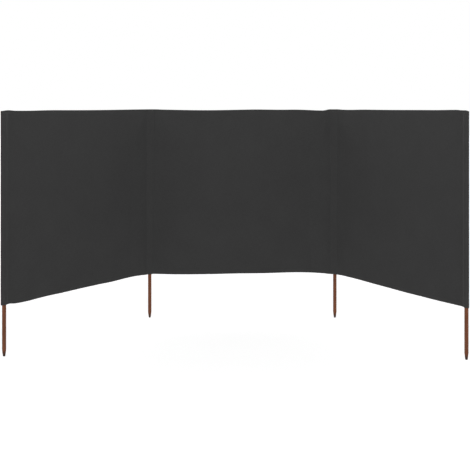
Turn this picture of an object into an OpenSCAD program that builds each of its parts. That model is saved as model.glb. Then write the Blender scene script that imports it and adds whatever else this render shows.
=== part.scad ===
// Beach windbreak: three bays of cloth on four pointed wooden stakes.
// Frame: origin on the flat end of the inner left stake, +X along the centre bay, +Z up.
// The front is -Y, and both side bays are swung towards it.

/* [Stakes] */
// Diameter of a stake
stake_d = 25; // [18:1:32]
// Length of the turned point at the lower end
point_len = 42; // [20:1:120]
// Diameter of the flat at the end of the point
point_end_d = 14; // [4:1:16]
// Width of the chamfer round the top of a stake
stake_chamfer = 2; // [0.5:0.5:4]
// Length of stake below the cloth, which goes into the ground
stake_below = 314; // [150:1:600]

/* [Cloth] */
// Distance between the stakes of one bay
bay_w = 1336; // [700:4:1800]
// Height of the cloth, hems included
cloth_h = 1188; // [600:4:1800]
// Thickness of one layer of cloth
cloth_t = 1; // [0.6:0.1:2]
// Width of the folded hem along the top and bottom edges
hem_w = 25; // [12:1:50]
// Layers of cloth in a hem
hem_layers = 2; // [2:1:4]

/* [Sleeves] */
// Room all round between a stake and its sleeve
sleeve_room = 0.5; // [0.3:0.1:3]
// Room between a sleeve that stays still and the bay that swings round it
fold_room = 0.3; // [0.3:0.1:2]
// Room between the top of a stake and the closed end of its sleeve
top_room = 0.3; // [0.3:0.1:5]

/* [Set-up] */
// Turn of the left bay towards the front, from in line with the centre bay
left_turn = 53.5; // [0:0.1:110]
// Turn of the right bay towards the front, from in line with the centre bay
right_turn = 59.7; // [0:0.1:110]

/* [Hidden] */
$fn = 64;

wood_colour = "#6e4635";
cloth_colour = "#383838";

// How far a cut runs past each end of what it cuts
cut_past = 1;

cloth_bottom = stake_below;
cloth_top = cloth_bottom + cloth_h;
stake_top = cloth_top - hem_w - top_room;
panel_bottom = cloth_bottom + hem_w;
panel_top = cloth_top - hem_w;

sleeve_in_r = stake_d / 2 + sleeve_room;
sleeve_out_r = sleeve_in_r + cloth_t;
hem_t = hem_layers * cloth_t;
mouth_out_r = sleeve_in_r + hem_t;

// A bay is drawn with its first stake on the Z axis and its cloth running along +X.
// Angle that turns a bay's cloth from +X to its own direction.
left_direction = 180 + left_turn;
right_direction = -right_turn;

// The inner left stake stands on the Z axis, so its pieces need no module.
module at_right_inner() translate([bay_w, 0, 0]) children();

module at_left_bay() rotate([0, 0, left_direction]) children();

module at_right_bay() translate([bay_w, 0, 0]) rotate([0, 0, right_direction]) children();

module at_far_stake() translate([bay_w, 0, 0]) children();

// Turned dowel with a tapered point below and a small chamfer above.
module stake() {
    color(wood_colour) {
        cylinder(h = point_len, d1 = point_end_d, d2 = stake_d);
        translate([0, 0, point_len])
            cylinder(h = stake_top - stake_chamfer - point_len, d = stake_d);
        translate([0, 0, stake_top - stake_chamfer])
            cylinder(h = stake_chamfer, d1 = stake_d, d2 = stake_d - 2 * stake_chamfer);
    }
}

// Tube of cloth round a stake, doubled at its open mouth by the bottom hem.
module sleeve() {
    color(cloth_colour)
    difference() {
        union() {
            translate([0, 0, cloth_bottom])
                cylinder(h = panel_top - cloth_bottom, r = sleeve_out_r);
            translate([0, 0, cloth_bottom])
                cylinder(h = hem_w, r = mouth_out_r);
        }
        translate([0, 0, cloth_bottom - cut_past])
            cylinder(h = panel_top - cloth_bottom + 2 * cut_past, r = sleeve_in_r);
    }
}

// Closed end of a sleeve: round where it meets the tube, sewn flat at the top edge.
module sleeve_top() {
    color(cloth_colour)
    translate([0, 0, panel_top])
    hull() {
        cylinder(h = cloth_t, r = sleeve_out_r, $fn = 32);
        translate([-sleeve_out_r, -hem_t / 2, hem_w - cloth_t])
            cube([2 * sleeve_out_r, hem_t, cloth_t]);
    }
}

// Strip of cloth between two stakes, standing on edge along +X.
module strip(from, to, bottom, height, thickness) {
    color(cloth_colour)
    translate([from, -thickness / 2, bottom])
        cube([to - from, thickness, height]);
}

// The first_room is left at the stake on the Z axis, where a side bay swings.
module panel(first_room = 0) {
    strip(sleeve_out_r + first_room, bay_w - sleeve_out_r, panel_bottom,
        panel_top - panel_bottom, cloth_t);
}

module top_hem(first_room = 0) {
    strip(sleeve_out_r + first_room, bay_w - sleeve_out_r, panel_top, hem_w, hem_t);
}

module bottom_hem(first_room = 0) {
    strip(mouth_out_r + first_room, bay_w - mouth_out_r, cloth_bottom, hem_w, hem_t);
}

at_left_bay() at_far_stake() stake();  // stake_left_outer
stake();  // stake_left_inner
at_right_inner() stake();  // stake_right_inner
at_right_bay() at_far_stake() stake();  // stake_right_outer

at_left_bay() at_far_stake() sleeve();  // sleeve_left_outer
sleeve();  // sleeve_left_inner
at_right_inner() sleeve();  // sleeve_right_inner
at_right_bay() at_far_stake() sleeve();  // sleeve_right_outer

at_left_bay() at_far_stake() sleeve_top();  // sleeve_top_left_outer
sleeve_top();  // sleeve_top_left_inner
at_right_inner() sleeve_top();  // sleeve_top_right_inner
at_right_bay() at_far_stake() sleeve_top();  // sleeve_top_right_outer

at_left_bay() panel(fold_room);  // panel_left
panel();  // panel_centre
at_right_bay() panel(fold_room);  // panel_right

at_left_bay() top_hem(fold_room);  // top_hem_left
top_hem();  // top_hem_centre
at_right_bay() top_hem(fold_room);  // top_hem_right

at_left_bay() bottom_hem(fold_room);  // bottom_hem_left
bottom_hem();  // bottom_hem_centre
at_right_bay() bottom_hem(fold_room);  // bottom_hem_right
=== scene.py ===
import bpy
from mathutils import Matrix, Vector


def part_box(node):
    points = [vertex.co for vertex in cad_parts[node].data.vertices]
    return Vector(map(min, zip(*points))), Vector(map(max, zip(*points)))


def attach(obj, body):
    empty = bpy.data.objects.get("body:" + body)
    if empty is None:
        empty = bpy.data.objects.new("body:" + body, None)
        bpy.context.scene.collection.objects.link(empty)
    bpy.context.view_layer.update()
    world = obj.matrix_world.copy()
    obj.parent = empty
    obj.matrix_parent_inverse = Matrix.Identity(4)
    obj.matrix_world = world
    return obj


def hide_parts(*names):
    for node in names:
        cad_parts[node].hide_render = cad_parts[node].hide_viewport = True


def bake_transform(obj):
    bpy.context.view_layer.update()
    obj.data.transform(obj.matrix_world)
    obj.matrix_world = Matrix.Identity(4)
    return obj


bl_info = {
    "name": "Beach windbreak",
    "version": (1, 0, 0),
    "blender": (4, 5, 0),
    "location": "3D View > Sidebar > Windbreak",
    "description": "Cloth, pockets, stitching, stakes and studio of a three-bay beach windbreak",
    "category": "Object",
}

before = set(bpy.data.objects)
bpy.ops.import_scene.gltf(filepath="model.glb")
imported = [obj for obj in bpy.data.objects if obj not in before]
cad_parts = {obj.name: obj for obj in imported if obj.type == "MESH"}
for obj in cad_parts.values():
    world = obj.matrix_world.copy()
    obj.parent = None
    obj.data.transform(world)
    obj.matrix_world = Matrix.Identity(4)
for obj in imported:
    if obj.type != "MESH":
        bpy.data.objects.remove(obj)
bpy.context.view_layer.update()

import math

import bmesh
import bpy
import numpy as np
from bpy.props import FloatProperty, FloatVectorProperty, PointerProperty
from mathutils import Vector, noise

UP = np.array((0.0, 0.0, 1.0))


def linear(hex_colour):
    """An sRGB hex colour as the linear red, green and blue that a shader takes."""
    channels = [int(hex_colour[i:i + 2], 16) / 255 for i in (1, 3, 5)]
    return tuple(c / 12.92 if c <= 0.04045 else ((c + 0.055) / 1.055) ** 2.4 for c in channels)


def axis_of(node):
    """Where a CAD stake stands, at floor level."""
    low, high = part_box(node)
    return np.array(((low.x + high.x) / 2, (low.y + high.y) / 2, 0.0))


# Places and sizes that come from the CAD frame.
STAKES = ("left_outer", "left_inner", "right_inner", "right_outer")
AXES = {name: axis_of("stake_" + name) for name in STAKES}
STAKE_LOW, STAKE_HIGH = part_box("stake_left_inner")
STAKE_R = (STAKE_HIGH.x - STAKE_LOW.x) / 2
CLOTH_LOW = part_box("bottom_hem_centre")[0].z
CLOTH_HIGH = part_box("top_hem_centre")[1].z
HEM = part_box("bottom_hem_centre")[1].z - CLOTH_LOW
HEIGHT = CLOTH_HIGH - CLOTH_LOW
STAKE_TOP = STAKE_HIGH.z - CLOTH_LOW

# Each bay: the stake it starts at, the stake it ends at, the side of its run that its back is on,
# the body it rides on and a number that makes its creases its own.
BAYS = {
    "left": ("left_inner", "left_outer", -1, "left_bay", 3.7),
    "centre": ("left_inner", "right_inner", 1, "centre_bay", 11.3),
    "right": ("right_inner", "right_outer", 1, "right_bay", 23.9),
}

# How far past a pocket's lap the cloth is still held straight, and how far the turned part of a hem
# stays clear of the lap, in metres.
HELD_PAST_LAP = 0.002
CLEAR_OF_LAP = 0.0008
# Where a pocket's droop ends, past its stake's axis, in metres, and the share of the height it begins at.
DROOP_END = 0.028
DROOP_LEVEL = 0.9
# How finely a row of stitches follows the cloth.
ROW_STEPS = 600
# A bar tack: how many threads it has, how far apart they lie and how long it is.
TACK_THREADS = 7
TACK_STEP = 0.0011
TACK_LENGTH = 0.009

# Where each bay bellies, as a share of its width, how far that reaches, as a share, and how deep it is
# at the lower edge in metres, with a belly to the back as positive.
BELLIES = {
    "left": ((0.18, 0.26, 0.026), (0.42, 0.26, 0.012), (0.85, 0.26, -0.017)),
    "centre": ((0.79, 0.30, 0.036), (0.50, 0.26, 0.014), (0.16, 0.20, -0.009)),
    "right": ((0.68, 0.36, -0.012),),
}
# Where the lower and the upper edge of each bay rise or sag, and how far, in the same way, with a rise
# as positive.
LOWER_EDGE = {
    "left": (
        (0.50, 0.75, -0.0018), (0.08, 0.10, 0.0032), (0.27, 0.12, -0.0030),
        (0.75, 0.12, 0.0024), (0.93, 0.12, -0.0045),
    ),
    "centre": ((0.50, 0.75, -0.0018), (0.52, 0.18, 0.0030), (0.80, 0.28, 0.0065), (0.94, 0.10, 0.0016)),
    "right": ((0.16, 0.26, 0.0040), (0.70, 0.14, 0.0015)),
}
UPPER_EDGE = {
    "left": ((0.45, 0.48, -0.0028), (0.88, 0.20, -0.0038)),
    "centre": ((0.30, 0.36, -0.0065), (0.71, 0.18, -0.0030), (0.94, 0.18, -0.0085)),
    "right": ((0.12, 0.16, -0.0030), (0.45, 0.30, -0.0012), (0.94, 0.16, 0.0026)),
}


def smooth(x):
    """Nought below nought, one above one, and an even rise between them."""
    x = np.clip(x, 0, 1)
    return x * x * (3 - 2 * x)


def hump(x, middle, reach):
    """One at the middle, and an even fall to nought at the reach on both sides."""
    return np.cos(np.clip(np.abs(x - middle) / reach, 0, 1) * math.pi / 2) ** 2


def drift(u, h, across, up, seed):
    """Soft random waves over a sheet, from -1 to 1, with the sizes given for one wave."""
    flat = [
        noise.noise(Vector((a / across, b / up, seed)))
        for a, b in zip(np.ravel(u), np.ravel(h))
    ]
    return np.array(flat).reshape(np.shape(u))


def scene_settings():
    """The settings of the cloth, the pockets and the stitching."""
    scene = bpy.context.scene
    return scene.windbreak_cloth, scene.windbreak_pockets, scene.windbreak_stitching


class BayCloth:
    """The shape of one bay's cloth between the seams of its pockets, hanging slightly slack."""

    def __init__(self, name):
        cloth, pockets, _ = scene_settings()
        first, last, side, self.body, self.seed = BAYS[name]
        self.name = name
        self.start = AXES[first]
        run = AXES[last] - self.start
        self.width = float(np.linalg.norm(run))
        self.along = run / self.width
        self.back = side * np.array((-self.along[1], self.along[0], 0.0))
        self.seam = pockets.seam
        self.lap = pockets.lap
        steps = round((self.width - 2 * self.seam) / cloth.mesh_step)
        self.us = np.linspace(self.seam, self.width - self.seam, steps + 1)
        steps = round(HEIGHT / cloth.mesh_step)
        self.hs = np.linspace(cloth.fold_radius, HEIGHT - cloth.fold_radius, steps + 1)
        u, h = np.meshgrid(self.us, self.hs)
        self.depth = self.depths(u, h, cloth)
        self.rise = self.rises(u, h)

    def held(self, u, reach):
        """Nought at the pocket seams, which hold the cloth straight, and one well away from them."""
        free = np.minimum(u, self.width - u) - self.seam - self.lap - HELD_PAST_LAP
        return smooth(free / reach)

    def depths(self, u, h, cloth):
        """How far the cloth stands behind the straight line between its stakes."""
        share = u / self.width
        level = 1 - h / HEIGHT
        depth = np.zeros_like(u)
        for middle, reach, deep in BELLIES[self.name]:
            depth += deep * hump(share, middle, reach)
        # The upper edge has about a fifth of the belly of the lower one.
        depth *= cloth.fullness * (0.22 + 0.78 * level**1.15)
        # Long soft waves, and shorter ones that are less deep.
        depth += cloth.waves * drift(u, h, 0.42, 0.75, self.seed)
        depth += 0.45 * cloth.waves * drift(u, h, 0.17, 0.40, self.seed + 5)
        depth *= self.held(u, 0.15)
        # Drag lines fan out from the four corners, where the pockets hold the cloth. They are deepest
        # at fan_reach from the corner, in metres.
        fan_reach = 0.13
        fan_turns = 8.5
        for end in (self.seam, self.width - self.seam):
            for edge in (0, HEIGHT):
                du, dh = np.abs(u - end), np.abs(h - edge)
                far = np.hypot(du, dh) / fan_reach
                fan = np.sin(fan_turns * np.arctan2(dh, du) + self.seed * (1 + edge))
                depth += cloth.drag_lines * fan * far * np.exp(1 - far) * self.held(u, 0.05)
        # The thread gathers the cloth a little along its seams, in puckers about 40 mm long.
        near_hem = np.exp(-np.minimum(h, HEIGHT - h) / 0.045)
        near_seam = np.exp(-np.minimum(u - self.seam, self.width - self.seam - u) / 0.035)
        gather = near_hem * drift(u, 0 * h, 0.035, 1, self.seed + 9)
        gather += near_seam * drift(0 * u, h, 1, 0.045, self.seed + 13)
        depth += cloth.puckers * gather * self.held(u, 0.012)
        return depth

    def rises(self, u, h):
        """How far the cloth stands above its even height."""
        share = u / self.width
        lower, upper = (
            sum(up * hump(share, middle, reach) for middle, reach, up in edge[self.name])
            for edge in (LOWER_EDGE, UPPER_EDGE)
        )
        level = h / HEIGHT
        return (lower * (1 - level) ** 1.5 + upper * level**1.5) * self.held(u, 0.05)

    def sample(self, grid, u, h):
        """A value of the cloth's own mesh at any place on it, so that what is sewn on lies true."""
        rows, columns = grid.shape
        # The last place of a row or column is kept just inside the last face.
        inside = 1.000001
        c = (u - self.us[0]) / (self.us[-1] - self.us[0]) * (columns - 1)
        r = (h - self.hs[0]) / (self.hs[-1] - self.hs[0]) * (rows - 1)
        c, r = np.clip(c, 0, columns - inside), np.clip(r, 0, rows - inside)
        i, j = r.astype(int), c.astype(int)
        a, b = r - i, c - j
        low = grid[i, j] * (1 - b) + grid[i, j + 1] * b
        high = grid[i + 1, j] * (1 - b) + grid[i + 1, j + 1] * b
        return low * (1 - a) + high * a

    def place(self, u, h, behind):
        """Points on the cloth, or behind it, for arrays of places along the bay and up it."""
        u, h, behind = np.broadcast_arrays(u, h, behind)
        back = behind + self.sample(self.depth, u, h)
        high = CLOTH_LOW + h + self.sample(self.rise, u, h)
        level = self.start + u[..., None] * self.along + back[..., None] * self.back
        return level + high[..., None] * UP


def hem_section():
    """A turned hem in section, from its tucked raw edge round to its fold: heights above the fold,
    depths behind the face of the cloth, and how much each point belongs to the turned part."""
    cloth = scene_settings()[0]
    layer, fold, tuck = cloth.layer, cloth.fold_radius, cloth.tuck
    half = layer / 2
    section = [(HEM - tuck, layer, 1), (HEM - tuck / 2, layer, 1)]
    for turn in (0, 45, 90, 135, 180):
        a = math.radians(turn)
        section.append((HEM - half + half * math.sin(a), layer + half - half * math.cos(a), 1))
    # Past the tucked edge the turned part comes down to lie on the face, as far as the fold.
    section += [
        (HEM - tuck / 2, 2 * layer, 1),
        (HEM - tuck, 1.95 * layer, 1),
        (HEM - tuck - 0.0015, 1.5 * layer, 1),
        (HEM - tuck - 0.0030, 1.1 * layer, 1),
        (HEM - tuck - 0.0060, layer, 1),
        (0.0045, layer, 1),
        (0.0020, 1.1 * layer, 1),
    ]
    for turn in range(0, 181, 30):
        a = math.radians(turn)
        section.append((fold - fold * math.sin(a), fold + fold * math.cos(a), 1 - turn / 180))
    return np.array(section)


def shade(piece, degrees=40):
    """Smooth shading, with sharp edges where faces meet at more than the angle."""
    bpy.ops.object.select_all(action="DESELECT")
    piece.select_set(True)
    bpy.context.view_layer.objects.active = piece
    bpy.ops.object.shade_smooth_by_angle(angle=math.radians(degrees))


def settle_order(piece):
    """Puts a mesh's points, edges and faces in a fixed order, which extruding doesn't give them."""
    mesh = bmesh.new()
    mesh.from_mesh(piece.data)

    def corners(part):
        return sorted(v.index for v in part.verts)

    def place(point):
        return [round(c, 6) for c in point.co.zxy]

    for parts, key in ((mesh.verts, place), (mesh.edges, corners), (mesh.faces, corners)):
        for i, part in enumerate(sorted(parts, key=key)):
            part.index = i
        parts.sort()
        parts.index_update()
    mesh.to_mesh(piece.data)
    mesh.free()


def lay_sheet(name, points, weave):
    """A sheet of cloth: a grid laid through rows of points, with its own map in metres, then thickened."""
    rows, columns = points.shape[:2]
    bpy.ops.object.select_all(action="DESELECT")
    bpy.ops.mesh.primitive_grid_add(
        x_subdivisions=columns - 1, y_subdivisions=rows - 1, size=2, calc_uvs=True
    )
    sheet = bpy.context.object
    sheet.name = sheet.data.name = name
    mesh = sheet.data
    if len(mesh.vertices) != rows * columns:
        raise RuntimeError(f"{name}: the grid has {len(mesh.vertices)} points, not {rows * columns}")
    flat = np.zeros(rows * columns * 3)
    mesh.vertices.foreach_get("co", flat)
    flat = flat.reshape(-1, 3)
    c = np.rint((flat[:, 0] + 1) / 2 * (columns - 1)).astype(int)
    r = np.rint((flat[:, 1] + 1) / 2 * (rows - 1)).astype(int)
    mesh.vertices.foreach_set("co", points[r, c].ravel())
    corners = np.zeros(len(mesh.loops), int)
    mesh.loops.foreach_get("vertex_index", corners)
    mesh.uv_layers[0].name = "weave"
    mesh.uv_layers["weave"].data.foreach_set("uv", weave[r, c][corners].ravel())
    thick = sheet.modifiers.new("thickness", "SOLIDIFY")
    thick.thickness = scene_settings()[0].thickness
    thick.offset = 0
    thick.use_even_offset = True
    bpy.ops.object.modifier_apply(modifier="thickness")
    shade(sheet)
    return sheet


def lengths(steps):
    """Distances along rows of points from their first one."""
    return np.concatenate(([0.0], np.cumsum(np.linalg.norm(np.diff(steps, axis=0), axis=1))))


def bay_sheet(bay):
    """One bay's cloth with its two turned hems, as the points of a grid and their map."""
    section = hem_section()
    face = np.array([(h, 0, 0) for h in bay.hs[1:-1]])
    upper = section[::-1].copy()
    upper[:, 0] = HEIGHT - upper[:, 0]
    rows = np.concatenate((section, face, upper))
    up = lengths(rows[:, :2])
    # The turned part stops short of the laps, so that the pockets' plies lie flat on the cloth there.
    middle = bay.width / 2
    squeeze = 1 - rows[:, 2:3] * (bay.lap + CLEAR_OF_LAP) / (middle - bay.seam)
    u = middle + (bay.us[None, :] - middle) * squeeze
    points = bay.place(u, rows[:, 0:1], rows[:, 1:2])
    weave = np.stack(np.broadcast_arrays(u, up[:, None]), axis=-1)
    return points, weave


def even_steps(line, count):
    """Points at even distances along a line of straight runs."""
    line = np.array(line)
    s = lengths(line)
    at = np.linspace(0, s[-1], count)
    return np.stack([np.interp(at, s, line[:, i]) for i in range(2)], axis=-1)


def round_stake(first, last, radius):
    """The taut line from one point, clockwise round a circle about the stake, to another."""
    a, b = math.atan2(first[1], first[0]), math.atan2(last[1], last[0])
    while b > a:
        b -= 2 * math.pi
    # The line leaves the circle where it is a tangent.
    a -= math.acos(radius / math.hypot(*first))
    b += math.acos(radius / math.hypot(*last))
    turns = np.linspace(a, b, 17)
    return [first, *[(radius * math.cos(t), radius * math.sin(t)) for t in turns], last]


def left_normals(line):
    """Unit normals to the left of travel along lines of points in plan."""
    run = np.gradient(line, axis=-2)
    run /= np.linalg.norm(run, axis=-1, keepdims=True)
    return np.stack((-run[..., 1], run[..., 0]), axis=-1)


class Pocket:
    """The plies of a pocket round its stake in plan. They run from left to right, or from the bay round
    the stake and back to it, hang open round the stake and close above its top. An outer corner droops,
    from a place in plan outwards."""

    def __init__(self, origin, plan_x, plan_y, seed, droop=0.0, droop_from=0.0):
        self.origin, self.plan_x, self.plan_y = origin, plan_x, plan_y
        self.seed = seed
        self.droop, self.droop_from = droop, droop_from
        self.lines = {}

    def add(self, name, open_line, closed_line, outward, slack):
        """A ply: its lines in plan round the stake and where it is closed, its outer side and its slack."""
        self.lines[name] = (np.array(open_line), np.array(closed_line), outward, slack)

    def line(self, name, h):
        """A ply's points and left normals at a height, as it hangs."""
        open_line, closed_line, outward, slack = self.lines[name]
        # It starts to close just below the stake's top and is shut just below the upper edge.
        rim, shut = STAKE_TOP - 0.002, HEIGHT - 0.003
        closing = smooth((h - rim) / (shut - rim))
        line = open_line * (1 - closing) + closed_line * closing
        normals = left_normals(line)
        if slack:
            s = lengths(line)
            held, eased = 0.006, 0.012
            free = smooth((s - held) / eased) * smooth((s[-1] - held - s) / eased)
            # Waves about 110 mm long up the pocket, and shorter ones that are less deep.
            wave = 0.5 + 0.5 * drift(s, 0 * s + h, 0.03, 0.11, self.seed)
            wave += 0.35 * (0.5 + 0.5 * drift(s, 0 * s + h, 0.02, 0.035, self.seed + 4))
            line = line + normals * (outward * slack * free * wave * (1 - closing))[:, None]
            normals = left_normals(line)
        return line, normals

    def world(self, plan, h):
        """Points in the frame from points in plan and their height above the cloth's lower edge."""
        out = smooth((plan[..., 0] - self.droop_from) / (DROOP_END - self.droop_from))
        up = smooth((h - DROOP_LEVEL * HEIGHT) / ((1 - DROOP_LEVEL) * HEIGHT))
        high = CLOTH_LOW + h - self.droop * out * up
        level = self.origin + plan[..., 0:1] * self.plan_x + plan[..., 1:2] * self.plan_y
        return level + high[..., None] * UP

    def ply(self, name, top):
        """A ply with its turned mouth, up to a height: the points of a grid and their map."""
        cloth, pockets, _ = scene_settings()
        outward = self.lines[name][2]
        section = hem_section()
        # Rows of even steps, and closer ones where the pocket closes.
        body = np.concatenate((
            np.arange(0.008, STAKE_TOP - 0.012, cloth.mesh_step),
            np.linspace(STAKE_TOP - 0.010, top, 13),
        ))
        rows = np.concatenate((section, np.array([(h, 0, 0) for h in body])))
        up = lengths(rows[:, :2])
        points, weave = [], []
        for (h, behind, turned), v in zip(rows, up):
            line, normals = self.line(name, max(h, 0.0))
            s = lengths(line)
            # The turned mouth stops short of the seams.
            inset = turned * (pockets.lap + 0.005)
            at = inset + s * (1 - 2 * inset / s[-1])
            line = np.stack([np.interp(at, s, line[:, i]) for i in range(2)], axis=-1)
            normals = np.stack([np.interp(at, s, normals[:, i]) for i in range(2)], axis=-1)
            points.append(self.world(line - normals * outward * behind, h))
            weave.append(np.stack((at, 0 * at + v), axis=-1))
        return np.array(points), np.array(weave)

    def cap(self):
        """The hem over a pocket's closed top: over the front ply's edge and down the back ply."""
        layer = scene_settings()[0].layer
        points = []

        def back_line(h):
            line, normals = self.line("back", h)
            return line + normals * layer

        for h in (HEIGHT - 0.0021, HEIGHT - 0.0015):
            points.append(self.world(self.line("front", h)[0], h))
        # Over the top it is bent in a half round.
        bend = 0.0010
        base = HEIGHT - bend
        front, back = self.line("front", base)[0], back_line(base)
        middle, reach = (front + back) / 2, (front - back) / 2
        for turn in range(0, 181, 30):
            a = math.radians(turn)
            h = base + bend * math.sin(a)
            points.append(self.world(middle + reach * math.cos(a), h))
        for h in np.linspace(HEIGHT - 0.0025, HEIGHT - HEM, 12):
            points.append(self.world(back_line(h), h))
        points = np.array(points)
        centre = points.shape[1] // 2
        ups = lengths(points[:, centre])
        across = lengths(points[0])
        weave = np.stack(np.broadcast_arrays(across[None, :], ups[:, None]), axis=-1)
        return points, weave


def fold_pocket(first, second, first_way, origin, seed):
    """A pocket at an inner stake, between the bay on its left and the bay on its right."""
    cloth, pockets, _ = scene_settings()
    layer = cloth.layer
    ways = (first.along * first_way, second.along)
    backs = (first.back, second.back)

    def flange(side, away, behind):
        """A point beside one of the two bays, at a distance from the stake's axis."""
        point = ways[side] * away + backs[side] * behind
        return point[0], point[1]

    def between(points, behind):
        """A ply from lap to lap."""
        laps = [
            [flange(side, pockets.seam + pockets.lap * far, behind) for far in (1, 0.5)]
            for side in (0, 1)
        ]
        return np.array(laps[0] + list(points) + laps[1][::-1])

    count = 27
    # The front ply hangs open from seam to seam, a little full, and the back ply is drawn round the stake.
    front_ends, back_ends = (
        [np.array(flange(side, pockets.seam, behind)) for side in (0, 1)]
        for behind in (-layer, layer)
    )
    full = 0.0008
    chord = np.linspace(*front_ends, count)
    bulge = np.sin(np.linspace(0, math.pi, count))[:, None] * full
    chord = chord - left_normals(chord) * bulge
    taut = even_steps(round_stake(*back_ends, pockets.room), count)
    # Above the stake both plies lie flat together, in one bend from bay to bay.
    flat = []
    t = np.linspace(0, 1, count)[:, None]
    for behind, (a, b) in ((-layer, front_ends), (layer, back_ends)):
        pull = np.array(backs[0][:2] + backs[1][:2]) / 2 * behind
        curve = a * (1 - t) ** 2 + 2 * pull * t * (1 - t) + b * t**2
        flat.append(even_steps(curve, count))
    pocket = Pocket(origin, np.array((1.0, 0, 0)), np.array((0, 1.0, 0)), seed)
    pocket.add("front", between(chord, -layer), between(flat[0], -layer), -1, 0.0010)
    pocket.add("back", between(taut, layer), between(flat[1], layer), 1, 0.0006)
    return pocket


def end_pocket(bay, origin, tip, droop, droop_from, seed):
    """A pocket at an outer stake: the end of the cloth wrapped round it and sewn down."""
    cloth, pockets, _ = scene_settings()
    layer = cloth.layer
    count = 25

    def side(sign, radius, taut):
        """One side of the wrap, from its lap out to its tip."""
        laps = [(-pockets.seam - pockets.lap * far, sign * layer) for far in (1, 0.5)]
        seam = (-pockets.seam, sign * layer)
        end = (tip - radius, sign * radius)
        if not taut:
            run = np.linspace(seam, end, count)
        elif sign > 0:
            run = even_steps(round_stake(seam, end, pockets.room), count)
        else:
            run = even_steps(round_stake(end, seam, pockets.room), count)[::-1]
        return np.array(laps + list(run))

    def round_tip(radius):
        """The rounded fold at the very end of the cloth."""
        turns = np.radians(np.linspace(60, -60, 5))
        return np.stack((tip - radius + radius * np.cos(turns), radius * np.sin(turns)), axis=-1)

    slack_tip = 0.0016
    backs = side(1, slack_tip, True), side(1, layer, False)
    fronts = side(-1, slack_tip, True), side(-1, layer, False)
    tips = round_tip(slack_tip), round_tip(layer)
    pocket = Pocket(origin, bay.along, bay.back, seed, droop, droop_from)
    wraps = [np.concatenate((backs[i], tips[i], fronts[i][::-1])) for i in (0, 1)]
    pocket.add("wrap", *wraps, 1, 0.0007)
    # The hem over the top follows each side to just past the tip.
    for name, sign, lines in (("back", 1, backs), ("front", -1, fronts)):
        past = np.array([(tip + 0.0003, sign * layer)])
        pocket.add(name, *[np.concatenate((line, past)) for line in lines], sign, 0)
    return pocket


def along_path(path, outward, pitch, margin=0.002):
    """Places for stitches at even steps along a path: middles, directions and outward normals."""
    s = lengths(path)
    count = int((s[-1] - 2 * margin) / pitch)
    spare = (s[-1] - (count - 1) * pitch) / 2
    at = spare + np.arange(count) * pitch

    def pick(values, where):
        return np.stack([np.interp(where, s, values[:, i]) for i in range(3)], axis=-1)

    middle = pick(path, at)
    run = pick(path, at + pitch / 3) - pick(path, at - pitch / 3)
    run /= np.linalg.norm(run, axis=1, keepdims=True)
    out = pick(np.broadcast_to(outward, path.shape), at)
    out = out - run * (out * run).sum(1, keepdims=True)
    out /= np.linalg.norm(out, axis=1, keepdims=True)
    return middle, run, out


def one_stitch():
    """A stitch lying along X: a short thread that is thickest in the middle and dips at both ends."""
    stitching = scene_settings()[2]
    bpy.ops.object.select_all(action="DESELECT")
    # There are thousands of stitches, so each has only four sides.
    bpy.ops.mesh.primitive_cylinder_add(
        vertices=4, radius=0.5, depth=1, rotation=(0, math.pi / 2, 0)
    )
    stitch = bpy.context.object
    stitch.name = "one_stitch"
    bpy.ops.object.transform_apply(location=True, rotation=True, scale=True)
    bpy.ops.object.mode_set(mode="EDIT")
    bpy.ops.mesh.select_all(action="SELECT")
    bpy.ops.mesh.bisect(plane_co=(0, 0, 0), plane_no=(1, 0, 0))
    bpy.ops.object.mode_set(mode="OBJECT")
    # The two ends are drawn in.
    for v in stitch.data.vertices:
        v.select = abs(v.co.x) > 0.4
    for part in (*stitch.data.edges, *stitch.data.polygons):
        part.select = all(stitch.data.vertices[i].select for i in part.vertices)
    bpy.ops.object.mode_set(mode="EDIT")
    bpy.ops.transform.resize(value=(1, 0.55, 0.55), center_override=(0, 0, 0))
    bpy.ops.object.mode_set(mode="OBJECT")
    flattened, dip = 0.75, 0.22
    size = np.array((stitching.length, stitching.width, stitching.width * flattened))
    points = np.array([v.co for v in stitch.data.vertices]) * size
    # The ends dip into the cloth.
    points[:, 2] -= (np.abs(points[:, 0]) / stitching.length * 2) ** 2 * stitching.width * dip
    faces = [list(p.vertices) for p in stitch.data.polygons]
    bpy.data.objects.remove(stitch)
    return points, faces


def sew(name, rows):
    """All the stitches of the rows given, copied from one, as one mesh."""
    points, faces = one_stitch()
    middles, runs, outs = (np.concatenate([row[i] for row in rows]) for i in range(3))
    sides = np.cross(outs, runs)
    placed = (
        middles[:, None]
        + points[None, :, 0:1] * runs[:, None]
        + points[None, :, 1:2] * sides[:, None]
        + points[None, :, 2:3] * outs[:, None]
    )
    count = len(points)
    every = [[i + k * count for i in face] for k in range(len(middles)) for face in faces]
    mesh = bpy.data.meshes.new(name)
    mesh.from_pydata(placed.reshape(-1, 3).tolist(), [], every)
    mesh.validate()
    thread = bpy.data.objects.new(name, mesh)
    bpy.context.scene.collection.objects.link(thread)
    shade(thread, 60)
    return thread


def stitch_places():
    """How far a stitch's middle lies from the middle of the ply it is sewn on, and how far a hem's row
    of stitches is from the cloth's edge."""
    cloth, _, stitching = scene_settings()
    return cloth.thickness / 2 + stitching.width * 0.12, HEM - cloth.tuck * 0.45


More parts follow.
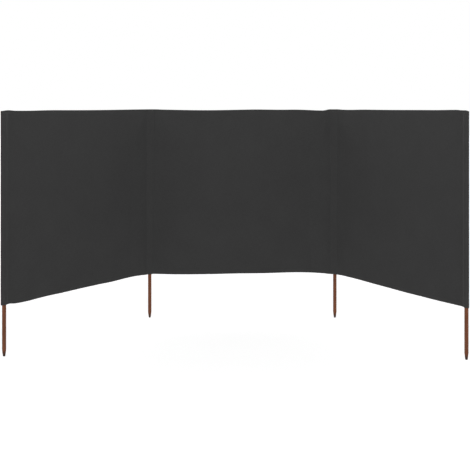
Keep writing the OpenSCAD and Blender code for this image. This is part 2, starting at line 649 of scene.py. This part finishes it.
def bay_rows(bay):
    """The rows of stitches of one bay: along both hems and up both pocket seams, on both faces."""
    cloth, _, stitching = scene_settings()
    face, inner = stitch_places()
    rows = []
    first = bay.seam + bay.lap + 0.001
    u = np.linspace(first, bay.width - first, ROW_STEPS)
    for h in (inner, HEIGHT - inner):
        for out, deep in ((-1, -face), (1, 2 * cloth.layer + face)):
            rows.append(along_path(bay.place(u, 0 * u + h, deep), out * bay.back, stitching.pitch))
    h = np.linspace(0.0015, HEIGHT - 0.0025, ROW_STEPS)
    for at in (bay.seam + bay.lap * 0.5, bay.width - bay.seam - bay.lap * 0.5):
        u = 0 * h + at
        front = -cloth.layer - face
        rows.append(along_path(bay.place(u, h, front), -bay.back, stitching.pitch))
        # At the back the upper hem lies over the seam.
        rear = cloth.layer * (1 + (h > HEIGHT - HEM)) + face
        rows.append(along_path(bay.place(u, h, rear), bay.back, stitching.pitch))
        # A bar tack locks each end of the seam, and lies just over the seam's own stitches.
        across = np.linspace(-TACK_LENGTH / 2, TACK_LENGTH / 2, 3)
        for middle in (0.006, HEIGHT - 0.008):
            for step in (np.arange(TACK_THREADS) - TACK_THREADS // 2) * TACK_STEP:
                for out, deep in ((-1, front), (1, cloth.layer * (1 + (middle > HEM)) + face)):
                    path = bay.place(at + across, 0 * across + middle + step, deep + out * 0.00015)
                    rows.append(along_path(path, out * bay.back, pitch=0.0038, margin=0.0005))
    return rows


def pocket_rows(pocket, plies):
    """The rows of stitches round a pocket's mouth and across its closed top."""
    cloth, _, stitching = scene_settings()
    face, inner = stitch_places()
    rows = []

    def row(name, h, sign, deep):
        line, normals = pocket.line(name, h)
        path = pocket.world(line + normals * sign * deep, h)
        out = normals[:, 0:1] * pocket.plan_x + normals[:, 1:2] * pocket.plan_y
        rows.append(along_path(path, sign * out, stitching.pitch, margin=0.004))

    for name, sign in plies:
        row(name, inner, sign, face)
    row("back", HEIGHT - inner, 1, cloth.layer + face)
    row("front", HEIGHT - inner, -1, face)
    return rows


def join(pieces, name):
    """One piece made of several."""
    bpy.ops.object.select_all(action="DESELECT")
    for piece in pieces:
        piece.select_set(True)
    bpy.context.view_layer.objects.active = pieces[0]
    bpy.ops.object.join()
    joined = bpy.context.object
    joined.name = joined.data.name = name
    return joined


# Materials


def add_node(tree, kind, settings=None, values=None, links=None):
    """A node with its settings, the values of its inputs and the outputs that its inputs take."""
    node = tree.nodes.new(kind)
    for key, value in (settings or {}).items():
        setattr(node, key, value)
    for key, value in (values or {}).items():
        node.inputs[key].default_value = value
    for key, source in (links or {}).items():
        tree.links.new(source, node.inputs[key])
    return node


def new_material(name):
    """An empty material and its node tree."""
    material = bpy.data.materials.new(name)
    material.use_nodes = True
    material.node_tree.nodes.clear()
    return material, material.node_tree


def finished(tree, shader):
    """Gives the material's surface its shader."""
    add_node(tree, "ShaderNodeOutputMaterial", links={"Surface": shader.outputs[0]})


def toned(colour, share):
    """A colour made darker or lighter by a share, with its alpha."""
    return (*(min(1, c * share) for c in colour), 1)


def plain_weave_canvas():
    """Solution-dyed polyester canvas in a plain weave: matt, with a faint nap at grazing angles, threads
    that run both ways, thicker slubs here and there, and a barely uneven dye."""
    cloth = scene_settings()[0]
    material, tree = new_material("plain_weave_canvas")
    on_cloth = add_node(tree, "ShaderNodeUVMap", {"uv_map": "weave"}).outputs["UV"]
    split = add_node(tree, "ShaderNodeSeparateXYZ", links={"Vector": on_cloth})
    # The real threads lie about 0.5 mm apart, which is too fine to show, so each is drawn 2 mm wide.
    thread = 0.002
    ribs = []
    for way in ("X", "Y"):
        turns = add_node(
            tree,
            "ShaderNodeMath",
            {"operation": "MULTIPLY"},
            {1: math.pi / thread},
            {0: split.outputs[way]},
        )
        rib = add_node(tree, "ShaderNodeMath", {"operation": "SINE"}, links={0: turns.outputs[0]})
        ribs.append(rib.outputs[0])
    cross = add_node(
        tree, "ShaderNodeMath", {"operation": "MULTIPLY"}, links={0: ribs[0], 1: ribs[1]}
    )
    crowns = add_node(tree, "ShaderNodeMath", {"operation": "ABSOLUTE"}, links={0: cross.outputs[0]})
    # Slubs: thick places about 30 mm long and one drawn thread wide, across and up.
    slubs = []
    for scale in ((32, 420, 1), (420, 32, 1)):
        stretched = add_node(
            tree, "ShaderNodeMapping", {"vector_type": "POINT"}, {"Scale": scale}, {"Vector": on_cloth}
        )
        thick_places = add_node(
            tree,
            "ShaderNodeTexNoise",
            {"noise_dimensions": "2D"},
            {"Scale": 1.0, "Detail": 2.0, "Roughness": 0.6},
            {"Vector": stretched.outputs["Vector"]},
        )
        slubs.append(thick_places.outputs["Fac"])
    slub = add_node(tree, "ShaderNodeMath", {"operation": "ADD"}, links={0: slubs[0], 1: slubs[1]})
    # The dye varies over 0.1 to 0.3 m, by up to 4 parts in a hundred either way.
    dye = add_node(
        tree,
        "ShaderNodeTexNoise",
        {"noise_dimensions": "2D"},
        {"Scale": 5.0, "Detail": 3.0, "Roughness": 0.55},
        {"Vector": on_cloth},
    )
    even = add_node(
        tree,
        "ShaderNodeMapRange",
        {},
        {"From Min": 0.25, "From Max": 0.75, "To Min": 0.38, "To Max": 0.62},
        {"Value": dye.outputs["Fac"]},
    )
    slub_tone = add_node(
        tree,
        "ShaderNodeMapRange",
        {},
        {"From Min": 0.7, "From Max": 1.3, "To Min": -0.28, "To Max": 0.28},
        {"Value": slub.outputs[0]},
    )
    # Painted light and shade: the crowns of the threads are drawn lighter and the gaps between them darker.
    painted_weave_shade = add_node(
        tree, "ShaderNodeMapRange", {}, {"To Min": -0.10, "To Max": 0.12}, {"Value": crowns.outputs[0]}
    )
    tone = even
    for part in (slub_tone, painted_weave_shade):
        tone = add_node(
            tree, "ShaderNodeMath", {"operation": "ADD"}, links={0: tone.outputs[0], 1: part.outputs[0]}
        )
    colour = add_node(
        tree,
        "ShaderNodeMix",
        {"data_type": "RGBA"},
        {"A": toned(cloth.colour, 0.84), "B": toned(cloth.colour, 1.16)},
        {"Factor": tone.outputs[0]},
    )
    # The slubs stand almost as high as the crowns of the weave.
    height = add_node(
        tree,
        "ShaderNodeMath",
        {"operation": "MULTIPLY_ADD"},
        {1: 0.80},
        {0: slub.outputs[0], 2: crowns.outputs[0]},
    )
    bump = add_node(
        tree,
        "ShaderNodeBump",
        {},
        {"Strength": 0.35, "Distance": 0.00035},
        {"Height": height.outputs[0]},
    )
    rough = add_node(
        tree, "ShaderNodeMapRange", {}, {"To Min": 0.93, "To Max": 0.84}, {"Value": crowns.outputs[0]}
    )
    shader = add_node(
        tree,
        "ShaderNodeBsdfPrincipled",
        {},
        {"Specular IOR Level": 0.10, "Sheen Weight": 0.02, "Sheen Roughness": 0.5},
        {
            "Base Color": colour.outputs["Result"],
            "Roughness": rough.outputs[0],
            "Normal": bump.outputs["Normal"],
        },
    )
    finished(tree, shader)
    return material


def polyester_thread():
    """Twisted polyester sewing thread, dyed to match the cloth: a little smoother and darker than it."""
    stitching = scene_settings()[2]
    material, tree = new_material("polyester_thread")
    place = add_node(tree, "ShaderNodeTexCoord").outputs["Object"]
    # The twist repeats every 0.8 mm or so.
    twist = add_node(
        tree, "ShaderNodeTexNoise", {}, {"Scale": 1200.0, "Detail": 1.0}, {"Vector": place}
    )
    colour = add_node(
        tree,
        "ShaderNodeMix",
        {"data_type": "RGBA"},
        {"A": toned(stitching.colour, 0.75), "B": toned(stitching.colour, 1.3)},
        {"Factor": twist.outputs["Fac"]},
    )
    bump = add_node(
        tree,
        "ShaderNodeBump",
        {},
        {"Strength": 0.3, "Distance": 0.0001},
        {"Height": twist.outputs["Fac"]},
    )
    shader = add_node(
        tree,
        "ShaderNodeBsdfPrincipled",
        {},
        {"Roughness": 0.6, "Specular IOR Level": 0.35},
        {"Base Color": colour.outputs["Result"], "Normal": bump.outputs["Normal"]},
    )
    finished(tree, shader)
    return material


def stained_dowel():
    """Turned pine dowel, stained reddish brown and lightly varnished: straight grain along the stake with
    darker late wood, a soft highlight, and a point that is darker over its last stretch."""
    stakes = bpy.context.scene.windbreak_stakes
    material, tree = new_material("stained_dowel")
    place = add_node(tree, "ShaderNodeTexCoord").outputs["Object"]
    # Growth rings cut lengthwise: lines 1 to 3 mm apart that wander slowly up the stake.
    long_grain = add_node(tree, "ShaderNodeMapping", {}, {"Scale": (340, 340, 4.0)}, {"Vector": place})
    rings = add_node(
        tree,
        "ShaderNodeTexNoise",
        {},
        {"Scale": 1.0, "Detail": 4.0, "Roughness": 0.62, "Distortion": 0.5},
        {"Vector": long_grain.outputs["Vector"]},
    )
    # Pores and fibres under 1 mm wide.
    fine_grain = add_node(tree, "ShaderNodeMapping", {}, {"Scale": (1500, 1500, 40)}, {"Vector": place})
    fibres = add_node(
        tree,
        "ShaderNodeTexNoise",
        {},
        {"Scale": 1.0, "Detail": 2.0, "Roughness": 0.6},
        {"Vector": fine_grain.outputs["Vector"]},
    )
    # The stain lies unevenly over 50 to 100 mm.
    patches = add_node(
        tree, "ShaderNodeTexNoise", {}, {"Scale": 14.0, "Detail": 2.0}, {"Vector": place}
    )
    grain = add_node(
        tree,
        "ShaderNodeMapRange",
        {},
        {"From Min": 0.36, "From Max": 0.64},
        {"Value": rings.outputs["Fac"]},
    )
    fibre_tone = add_node(
        tree,
        "ShaderNodeMath",
        {"operation": "MULTIPLY_ADD"},
        {1: 0.35},
        {0: fibres.outputs["Fac"], 2: grain.outputs[0]},
    )
    tone = add_node(
        tree,
        "ShaderNodeMath",
        {"operation": "MULTIPLY_ADD"},
        {1: 0.45},
        {0: patches.outputs["Fac"], 2: fibre_tone.outputs[0]},
    )
    level = add_node(
        tree, "ShaderNodeMapRange", {}, {"From Min": 0.15, "From Max": 1.65}, {"Value": tone.outputs[0]}
    )
    # From late wood to early wood.
    colour = add_node(
        tree,
        "ShaderNodeMix",
        {"data_type": "RGBA"},
        {"A": toned(stakes.colour, 0.40), "B": toned(stakes.colour, 1.65)},
        {"Factor": level.outputs[0]},
    )
    # The last stretch of the point is dark, and fades out upwards with an uneven edge.
    fade = 0.036
    height = add_node(tree, "ShaderNodeSeparateXYZ", links={"Vector": place})
    ragged = add_node(
        tree,
        "ShaderNodeMath",
        {"operation": "MULTIPLY_ADD"},
        {1: 0.008},
        {0: rings.outputs["Fac"], 2: height.outputs["Z"]},
    )
    soaked = add_node(
        tree,
        "ShaderNodeMapRange",
        {"interpolation_type": "SMOOTHSTEP"},
        {"From Min": stakes.soaked, "From Max": stakes.soaked + fade, "To Min": 1.0, "To Max": 0.0},
        {"Value": ragged.outputs[0]},
    )
    whole = add_node(
        tree,
        "ShaderNodeMix",
        {"data_type": "RGBA"},
        {"B": toned(stakes.tip_colour, 1)},
        {"Factor": soaked.outputs[0], "A": colour.outputs["Result"]},
    )
    bump = add_node(
        tree,
        "ShaderNodeBump",
        {},
        {"Strength": 0.25, "Distance": 0.0004},
        {"Height": fibre_tone.outputs[0]},
    )
    rough = add_node(
        tree, "ShaderNodeMapRange", {}, {"To Min": 0.62, "To Max": 0.44}, {"Value": grain.outputs[0]}
    )
    shader = add_node(
        tree,
        "ShaderNodeBsdfPrincipled",
        {},
        {"Specular IOR Level": 0.20},
        {
            "Base Color": whole.outputs["Result"],
            "Roughness": rough.outputs[0],
            "Normal": bump.outputs["Normal"],
        },
    )
    finished(tree, shader)
    return material


def studio_floor():
    """Smooth painted floor, pale and matt. To the camera it comes out white, and it keeps its shadows."""
    studio = bpy.context.scene.windbreak_studio
    material, tree = new_material("studio_floor")
    place = add_node(tree, "ShaderNodeTexCoord").outputs["Object"]
    paint = add_node(tree, "ShaderNodeTexNoise", {}, {"Scale": 3.0, "Detail": 2.0}, {"Vector": place})
    colour = add_node(
        tree,
        "ShaderNodeMix",
        {"data_type": "RGBA"},
        {"A": toned(studio.floor_colour, 1), "B": toned(studio.floor_colour, 0.985)},
        {"Factor": paint.outputs["Fac"]},
    )
    matt = add_node(tree, "ShaderNodeBsdfDiffuse", {}, {}, {"Color": colour.outputs["Result"]})
    glow = add_node(
        tree,
        "ShaderNodeMath",
        {"operation": "MULTIPLY"},
        {1: studio.floor_glow},
        {0: seen_directly(tree)},
    )
    lit = add_node(tree, "ShaderNodeEmission", {}, {}, {"Strength": glow.outputs[0]})
    both = add_node(tree, "ShaderNodeAddShader", {}, {}, {0: matt.outputs[0], 1: lit.outputs[0]})
    finished(tree, both)
    return material


def seen_directly(tree):
    """One for a ray from the camera or off a shiny or clear surface, and nought for one that lights."""
    path = add_node(tree, "ShaderNodeLightPath")
    seen = path.outputs["Is Camera Ray"]
    for ray in ("Is Glossy Ray", "Is Transmission Ray"):
        either = add_node(
            tree,
            "ShaderNodeMath",
            {"operation": "MAXIMUM"},
            links={0: seen, 1: path.outputs[ray]},
        )
        seen = either.outputs[0]
    return seen


def shared(make):
    """The material that a function makes, made once and named after it."""
    return bpy.data.materials.get(make.__name__) or make()


def cover(piece, material):
    """Gives a piece its one material."""
    piece.data.materials.clear()
    piece.data.materials.append(material)


# Settings


class WindbreakCloth(bpy.types.PropertyGroup):
    """The cloth of the bays"""

    colour: FloatVectorProperty(
        name="Cloth colour", description="Colour of the cloth", subtype="COLOR", size=3,
        default=linear("#383838"), min=0, max=1,
    )
    thickness: FloatProperty(
        name="Thickness", description="Thickness of one layer of cloth", default=0.00055, unit="LENGTH",
    )
    layer: FloatProperty(
        name="Layer spacing", description="Distance between layers that lie on each other",
        default=0.00065, unit="LENGTH",
    )
    fold_radius: FloatProperty(
        name="Fold radius", description="Radius of the fold along the edge of a hem",
        default=0.00042, unit="LENGTH",
    )
    tuck: FloatProperty(
        name="Tuck", description="Width of the raw edge tucked into a hem", default=0.008, unit="LENGTH",
    )
    mesh_step: FloatProperty(
        name="Mesh step", description="Size of the faces of the cloth's mesh", default=0.008, unit="LENGTH",
    )
    fullness: FloatProperty(
        name="Fullness", description="How much of its belly each bay has", default=1.0, subtype="FACTOR",
    )
    waves: FloatProperty(
        name="Waves", description="Depth of the soft waves in the cloth", default=0.004, unit="LENGTH",
    )
    drag_lines: FloatProperty(
        name="Drag lines", description="Depth of the creases that fan out from the corners",
        default=0.0011, unit="LENGTH",
    )
    puckers: FloatProperty(
        name="Puckers", description="Depth of the gathers along the seams", default=0.0007, unit="LENGTH",
    )


class WindbreakPockets(bpy.types.PropertyGroup):
    """The pockets that the stakes stand in"""

    seam: FloatProperty(
        name="Seam", description="Distance from a stake's axis to the seam of its pocket",
        default=0.030, unit="LENGTH",
    )
    lap: FloatProperty(
        name="Lap", description="How far a pocket's plies lie over the cloth past the seam",
        default=0.004, unit="LENGTH",
    )
    room: FloatProperty(
        name="Radius", description="Radius of a pocket where it passes round its stake",
        default=STAKE_R + 0.0012, unit="LENGTH",
    )
    left_end: FloatProperty(
        name="Left end", description="Distance from the left stake's axis to the folded end of the cloth",
        default=0.0255, unit="LENGTH",
    )
    right_end: FloatProperty(
        name="Right end", description="Distance from the right stake's axis to the folded end of the cloth",
        default=0.0215, unit="LENGTH",
    )
    left_droop: FloatProperty(
        name="Left droop", description="How far the cloth's upper left corner hangs",
        default=0.0045, unit="LENGTH",
    )
    right_droop: FloatProperty(
        name="Right droop", description="How far the cloth's upper right corner hangs",
        default=0.006, unit="LENGTH",
    )


class WindbreakStitching(bpy.types.PropertyGroup):
    """The stitching"""

    length: FloatProperty(
        name="Stitch", description="Length of one stitch", default=0.0034, unit="LENGTH",
    )
    pitch: FloatProperty(
        name="Pitch", description="Distance from one stitch to the next", default=0.0040, unit="LENGTH",
    )
    width: FloatProperty(
        name="Thread", description="Thickness of the thread", default=0.0006, unit="LENGTH",
    )
    colour: FloatVectorProperty(
        name="Thread colour", description="Colour of the thread", subtype="COLOR", size=3,
        default=linear("#2a2a2a"), min=0, max=1,
    )


class WindbreakStakes(bpy.types.PropertyGroup):
    """The wooden stakes"""

    colour: FloatVectorProperty(
        name="Stain", description="Colour of the stained wood", subtype="COLOR", size=3,
        default=linear("#673b24"), min=0, max=1,
    )
    tip_colour: FloatVectorProperty(
        name="Point colour", description="Colour of the wood at the very point", subtype="COLOR", size=3,
        default=linear("#2e1d17"), min=0, max=1,
    )
    soaked: FloatProperty(
        name="Dark point", description="Length of the point that is dark", default=0.012, unit="LENGTH",
    )
    point_length: FloatProperty(
        name="Point length", description="Length of the turned point", default=0.042, unit="LENGTH",
    )
    point_end: FloatProperty(
        name="Point end", description="Radius of the flat at the end of the point",
        default=0.0070, unit="LENGTH",
    )
    chamfer: FloatProperty(
        name="Chamfer", description="Width of the chamfer round the top", default=0.002, unit="LENGTH",
    )


class WindbreakStudio(bpy.types.PropertyGroup):
    """Floor, light and camera"""

    floor_colour: FloatVectorProperty(
        name="Floor colour", description="Colour of the floor", subtype="COLOR", size=3,
        default=linear("#eeeeee"), min=0, max=1,
    )
    floor_glow: FloatProperty(
        name="Floor glow", description="Light that lifts the floor to white for the camera alone",
        default=0.56, min=0,
    )
    sky: FloatProperty(
        name="Sky", description="Strength of the even light from all round", default=0.15, min=0,
    )
    lamps: FloatProperty(
        name="Lamps", description="Strength of the six soft lamps that stand round the windbreak",
        default=1.00, min=0,
    )
    key: FloatProperty(
        name="Key", description="Strength of the soft lamp above the front", default=0.35, min=0,
    )
    lens: FloatProperty(name="Lens", description="Focal length in millimetres", default=74.07, min=1)
    eye: FloatVectorProperty(
        name="Camera", description="Place of the camera", subtype="TRANSLATION", size=3,
        default=(0.6155, -6.98, 1.54),
    )
    shift: FloatProperty(
        name="Shift", description="Fall of the lens, which keeps the stakes upright in the view",
        default=-0.2786,
    )


# Operators


class WINDBREAK_OT_stakes(bpy.types.Operator):
    """Turn the four stakes in stained pine, each with its point, shoulder and chamfered top"""

    bl_idname = "windbreak.stakes"
    bl_label = "Stakes"

    def execute(self, context):
        sizes = context.scene.windbreak_stakes
        wood = shared(stained_dowel)
        top = STAKE_HIGH.z
        tip, full, cone = sizes.point_end, STAKE_R, sizes.point_length
        # The flat end is a little worn at its rim.
        flat_end = tip - 0.0005
        # Heights and radii of the turned profile, from the point up.
        profile = [(0.0008, tip)]
        # The point is turned a little fuller than a true cone.
        fuller = 0.22
        for share in np.linspace(0.06, 1, 12):
            profile.append((cone * share, tip + (full - tip) * share * (1 + fuller - fuller * share)))
        profile.append((cone + 0.003, full))
        profile += [(z, full) for z in np.linspace(0.12, top - 0.06, 9)]
        # The chamfer's edges are slightly rounded.
        rim = sizes.chamfer
        profile += [
            (top - rim - 0.0006, full),
            (top - rim + 0.0002, full - 0.0004),
            (top - 0.0006, full - rim + 0.0006),
            (top, full - rim - 0.0004),
        ]
        for name in STAKES:
            x, y, _ = AXES[name]
            bpy.ops.object.select_all(action="DESELECT")
            bpy.ops.mesh.primitive_circle_add(
                vertices=48, radius=flat_end, fill_type="NGON", location=(x, y, STAKE_LOW.z)
            )
            stake = context.object
            stake.name = stake.data.name = "pine_stake_" + name
            bpy.ops.object.transform_apply(location=True, rotation=True, scale=True)
            bpy.ops.object.mode_set(mode="EDIT")
            bpy.ops.mesh.select_all(action="SELECT")
            low, radius = 0.0, flat_end
            for z, wide in profile:
                bpy.ops.mesh.extrude_region_move(TRANSFORM_OT_translate={"value": (0, 0, z - low)})
                grow = wide / radius
                bpy.ops.transform.resize(value=(grow, grow, 1), center_override=(x, y, z))
                low, radius = z, wide
            bpy.ops.mesh.select_all(action="SELECT")
            bpy.ops.mesh.normals_make_consistent(inside=False)
            bpy.ops.object.mode_set(mode="OBJECT")
            settle_order(stake)
            shade(stake, 35)
            cover(stake, wood)
            body = {"left_outer": "left_bay", "right_outer": "right_bay"}.get(name, "centre_bay")
            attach(stake, body)
            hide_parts("stake_" + name)
        return {"FINISHED"}


class WINDBREAK_OT_stitching(bpy.types.Operator):
    """Sew the hems and the pocket seams of each bay, stitch by stitch"""

    bl_idname = "windbreak.stitching"
    bl_label = "Stitching"

    def execute(self, context):
        thread = shared(polyester_thread)
        pockets = {name: end_pocket_of(name) for name in ("left", "right")}
        for name in BAYS:
            bay = BayCloth(name)
            rows = bay_rows(bay)
            if name in pockets:
                rows += pocket_rows(pockets[name], (("wrap", 1),))
            sewn = sew("stitching_" + name, rows)
            cover(sewn, thread)
            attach(sewn, bay.body)
        return {"FINISHED"}


class WINDBREAK_OT_bays(bpy.types.Operator):
    """Hang the cloth of the three bays, each with its turned hems"""

    bl_idname = "windbreak.bays"
    bl_label = "Bays of cloth"

    def execute(self, context):
        weave = shared(plain_weave_canvas)
        for name in BAYS:
            bay = BayCloth(name)
            points, along = bay_sheet(bay)
            sheet = lay_sheet("cloth_" + name, points, along)
            cover(sheet, weave)
            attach(sheet, bay.body)
            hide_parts("panel_" + name, "top_hem_" + name, "bottom_hem_" + name)
        return {"FINISHED"}


def end_pocket_of(name):
    """The pocket at the outer stake of the left or the right bay."""
    bay = BayCloth(name)
    pockets = scene_settings()[1]
    # How far each end reaches past its stake, how far its corner droops and where in plan it begins to.
    ends = {
        "left": (pockets.left_end, pockets.left_droop, -0.026),
        "right": (pockets.right_end, pockets.right_droop, -0.006),
    }
    return end_pocket(bay, AXES[BAYS[name][1]], *ends[name], bay.seed + 40)


class WINDBREAK_OT_end_pockets(bpy.types.Operator):
    """Wrap the ends of the cloth round the outer stakes"""

    bl_idname = "windbreak.end_pockets"
    bl_label = "End pockets"

    def execute(self, context):
        weave = shared(plain_weave_canvas)
        for name in ("left", "right"):
            stake = BAYS[name][1]
            pocket = end_pocket_of(name)
            wrap = lay_sheet("wrap", *pocket.ply("wrap", HEIGHT - 0.00215))
            cap = lay_sheet("cap", *pocket.cap())
            piece = join([wrap, cap], "pocket_" + stake)
            cover(piece, weave)
            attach(piece, BAYS[name][3])
            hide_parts("sleeve_" + stake, "sleeve_top_" + stake)
        return {"FINISHED"}


class WINDBREAK_OT_fold_pockets(bpy.types.Operator):
    """Sew the pockets round the inner stakes, where the cloth bends when a side bay swings"""

    bl_idname = "windbreak.fold_pockets"
    bl_label = "Fold pockets"

    def execute(self, context):
        weave = shared(plain_weave_canvas)
        thread = shared(polyester_thread)
        bays = {name: BayCloth(name) for name in BAYS}
        # The bays on the left and right of each inner stake, the way the left one runs from it, and
        # the bay that swings about it.
        sides = {
            "left_inner": ("left", "centre", 1, "left"),
            "right_inner": ("centre", "right", -1, "right"),
        }
        for stake, (first, second, way, swinging) in sides.items():
            origin = AXES[stake]
            pocket = fold_pocket(bays[first], bays[second], way, origin, bays[first].seed + 60)
            front = lay_sheet("front_ply", *pocket.ply("front", HEIGHT - 0.00215))
            back = lay_sheet("back_ply", *pocket.ply("back", HEIGHT - 0.0016))
            cap = lay_sheet("cap", *pocket.cap())
            for sheet in (front, back, cap):
                cover(sheet, weave)
            sewn = sew("pocket_stitches", pocket_rows(pocket, (("front", -1), ("back", 1))))
            cover(sewn, thread)
            piece = join([front, back, cap, sewn], "pocket_" + stake)
            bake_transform(piece)
            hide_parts("sleeve_" + stake, "sleeve_top_" + stake)
        return {"FINISHED"}


class WINDBREAK_OT_studio(bpy.types.Operator):
    """Lay the pale floor, set the soft light and stand the camera at eye level"""

    bl_idname = "windbreak.studio"
    bl_label = "Studio"

    def execute(self, context):
        studio = context.scene.windbreak_studio
        bpy.ops.object.select_all(action="DESELECT")
        bpy.ops.mesh.primitive_plane_add(size=80, location=(0.6, 0, 0))
        floor = context.object
        floor.name = floor.data.name = "studio_floor"
        cover(floor, studio_floor())

        world = bpy.data.worlds.new("studio")
        context.scene.world = world
        world.use_nodes = True
        tree = world.node_tree
        tree.nodes.clear()
        white = add_node(tree, "ShaderNodeBackground", {}, {"Color": (1, 1, 1, 1), "Strength": 1.0})
        sky = add_node(tree, "ShaderNodeBackground", {}, {"Color": (1, 1, 1, 1), "Strength": studio.sky})
        mixed = add_node(
            tree,
            "ShaderNodeMixShader",
            links={0: seen_directly(tree), 1: sky.outputs[0], 2: white.outputs[0]},
        )
        add_node(tree, "ShaderNodeOutputWorld", links={"Surface": mixed.outputs[0]})

        # Soft lamps all round, level with each other, so that every bay is lit nearly alike from every
        # side. The one in front is a little stronger than the others.
        front_share = 1.15
        for turn in range(0, 360, 60):
            strength = studio.lamps * (front_share if turn == 0 else 1)
            lamp = self.lamp(f"lamp_{turn}", turn, 10, strength)
            lamp.data.use_shadow = False
        self.lamp("lamp_key", -12, 45, studio.key)

        lens = bpy.data.cameras.new("camera")
        lens.lens = studio.lens
        lens.shift_y = studio.shift
        camera = bpy.data.objects.new("camera", lens)
        camera.location = studio.eye
        camera.rotation_euler = (math.pi / 2, 0, 0)
        context.scene.collection.objects.link(camera)
        context.scene.camera = camera
        context.scene.view_settings.view_transform = "Standard"
        return {"FINISHED"}

    def lamp(self, name, turn, up, strength):
        """A distant soft lamp, turned round from straight in front and raised, in degrees."""
        softness = 60
        light = bpy.data.lights.new(name, "SUN")
        light.energy = strength
        light.angle = math.radians(softness)
        lamp = bpy.data.objects.new(name, light)
        a, e = math.radians(turn), math.radians(up)
        shines_from = Vector((math.sin(a) * math.cos(e), -math.cos(a) * math.cos(e), math.sin(e)))
        lamp.rotation_euler = shines_from.to_track_quat("Z", "Y").to_euler()
        lamp.location = shines_from * 6
        bpy.context.scene.collection.objects.link(lamp)
        return lamp


class WINDBREAK_PT_panel(bpy.types.Panel):
    """The windbreak's pieces and settings"""

    bl_idname = "WINDBREAK_PT_panel"
    bl_label = "Windbreak"
    bl_space_type = "VIEW_3D"
    bl_region_type = "UI"
    bl_category = "Windbreak"

    def draw(self, context):
        scene = context.scene
        groups = (
            (scene.windbreak_stakes, (WINDBREAK_OT_stakes,)),
            (scene.windbreak_stitching, (WINDBREAK_OT_stitching,)),
            (scene.windbreak_cloth, (WINDBREAK_OT_bays,)),
            (scene.windbreak_pockets, (WINDBREAK_OT_end_pockets, WINDBREAK_OT_fold_pockets)),
            (scene.windbreak_studio, (WINDBREAK_OT_studio,)),
        )
        for settings, operators in groups:
            box = self.layout.box()
            for key in settings.__annotations__:
                box.prop(settings, key)
            for operator in operators:
                box.operator(operator.bl_idname)


CLASSES = (
    WindbreakCloth,
    WindbreakPockets,
    WindbreakStitching,
    WindbreakStakes,
    WindbreakStudio,
    WINDBREAK_OT_stakes,
    WINDBREAK_OT_stitching,
    WINDBREAK_OT_bays,
    WINDBREAK_OT_end_pockets,
    WINDBREAK_OT_fold_pockets,
    WINDBREAK_OT_studio,
    WINDBREAK_PT_panel,
)


def register():
    for item in CLASSES:
        bpy.utils.register_class(item)
    bpy.types.Scene.windbreak_cloth = PointerProperty(type=WindbreakCloth)
    bpy.types.Scene.windbreak_pockets = PointerProperty(type=WindbreakPockets)
    bpy.types.Scene.windbreak_stitching = PointerProperty(type=WindbreakStitching)
    bpy.types.Scene.windbreak_stakes = PointerProperty(type=WindbreakStakes)
    bpy.types.Scene.windbreak_studio = PointerProperty(type=WindbreakStudio)


def unregister():
    for name in ("cloth", "pockets", "stitching", "stakes", "studio"):
        delattr(bpy.types.Scene, "windbreak_" + name)
    for item in reversed(CLASSES):
        bpy.utils.unregister_class(item)


def main():
    register()
    bpy.ops.windbreak.stakes()
    bpy.ops.windbreak.stitching()
    bpy.ops.windbreak.bays()
    bpy.ops.windbreak.end_pockets()
    bpy.ops.windbreak.fold_pockets()
    bpy.ops.windbreak.studio()


if __name__ == "__main__":
    main()
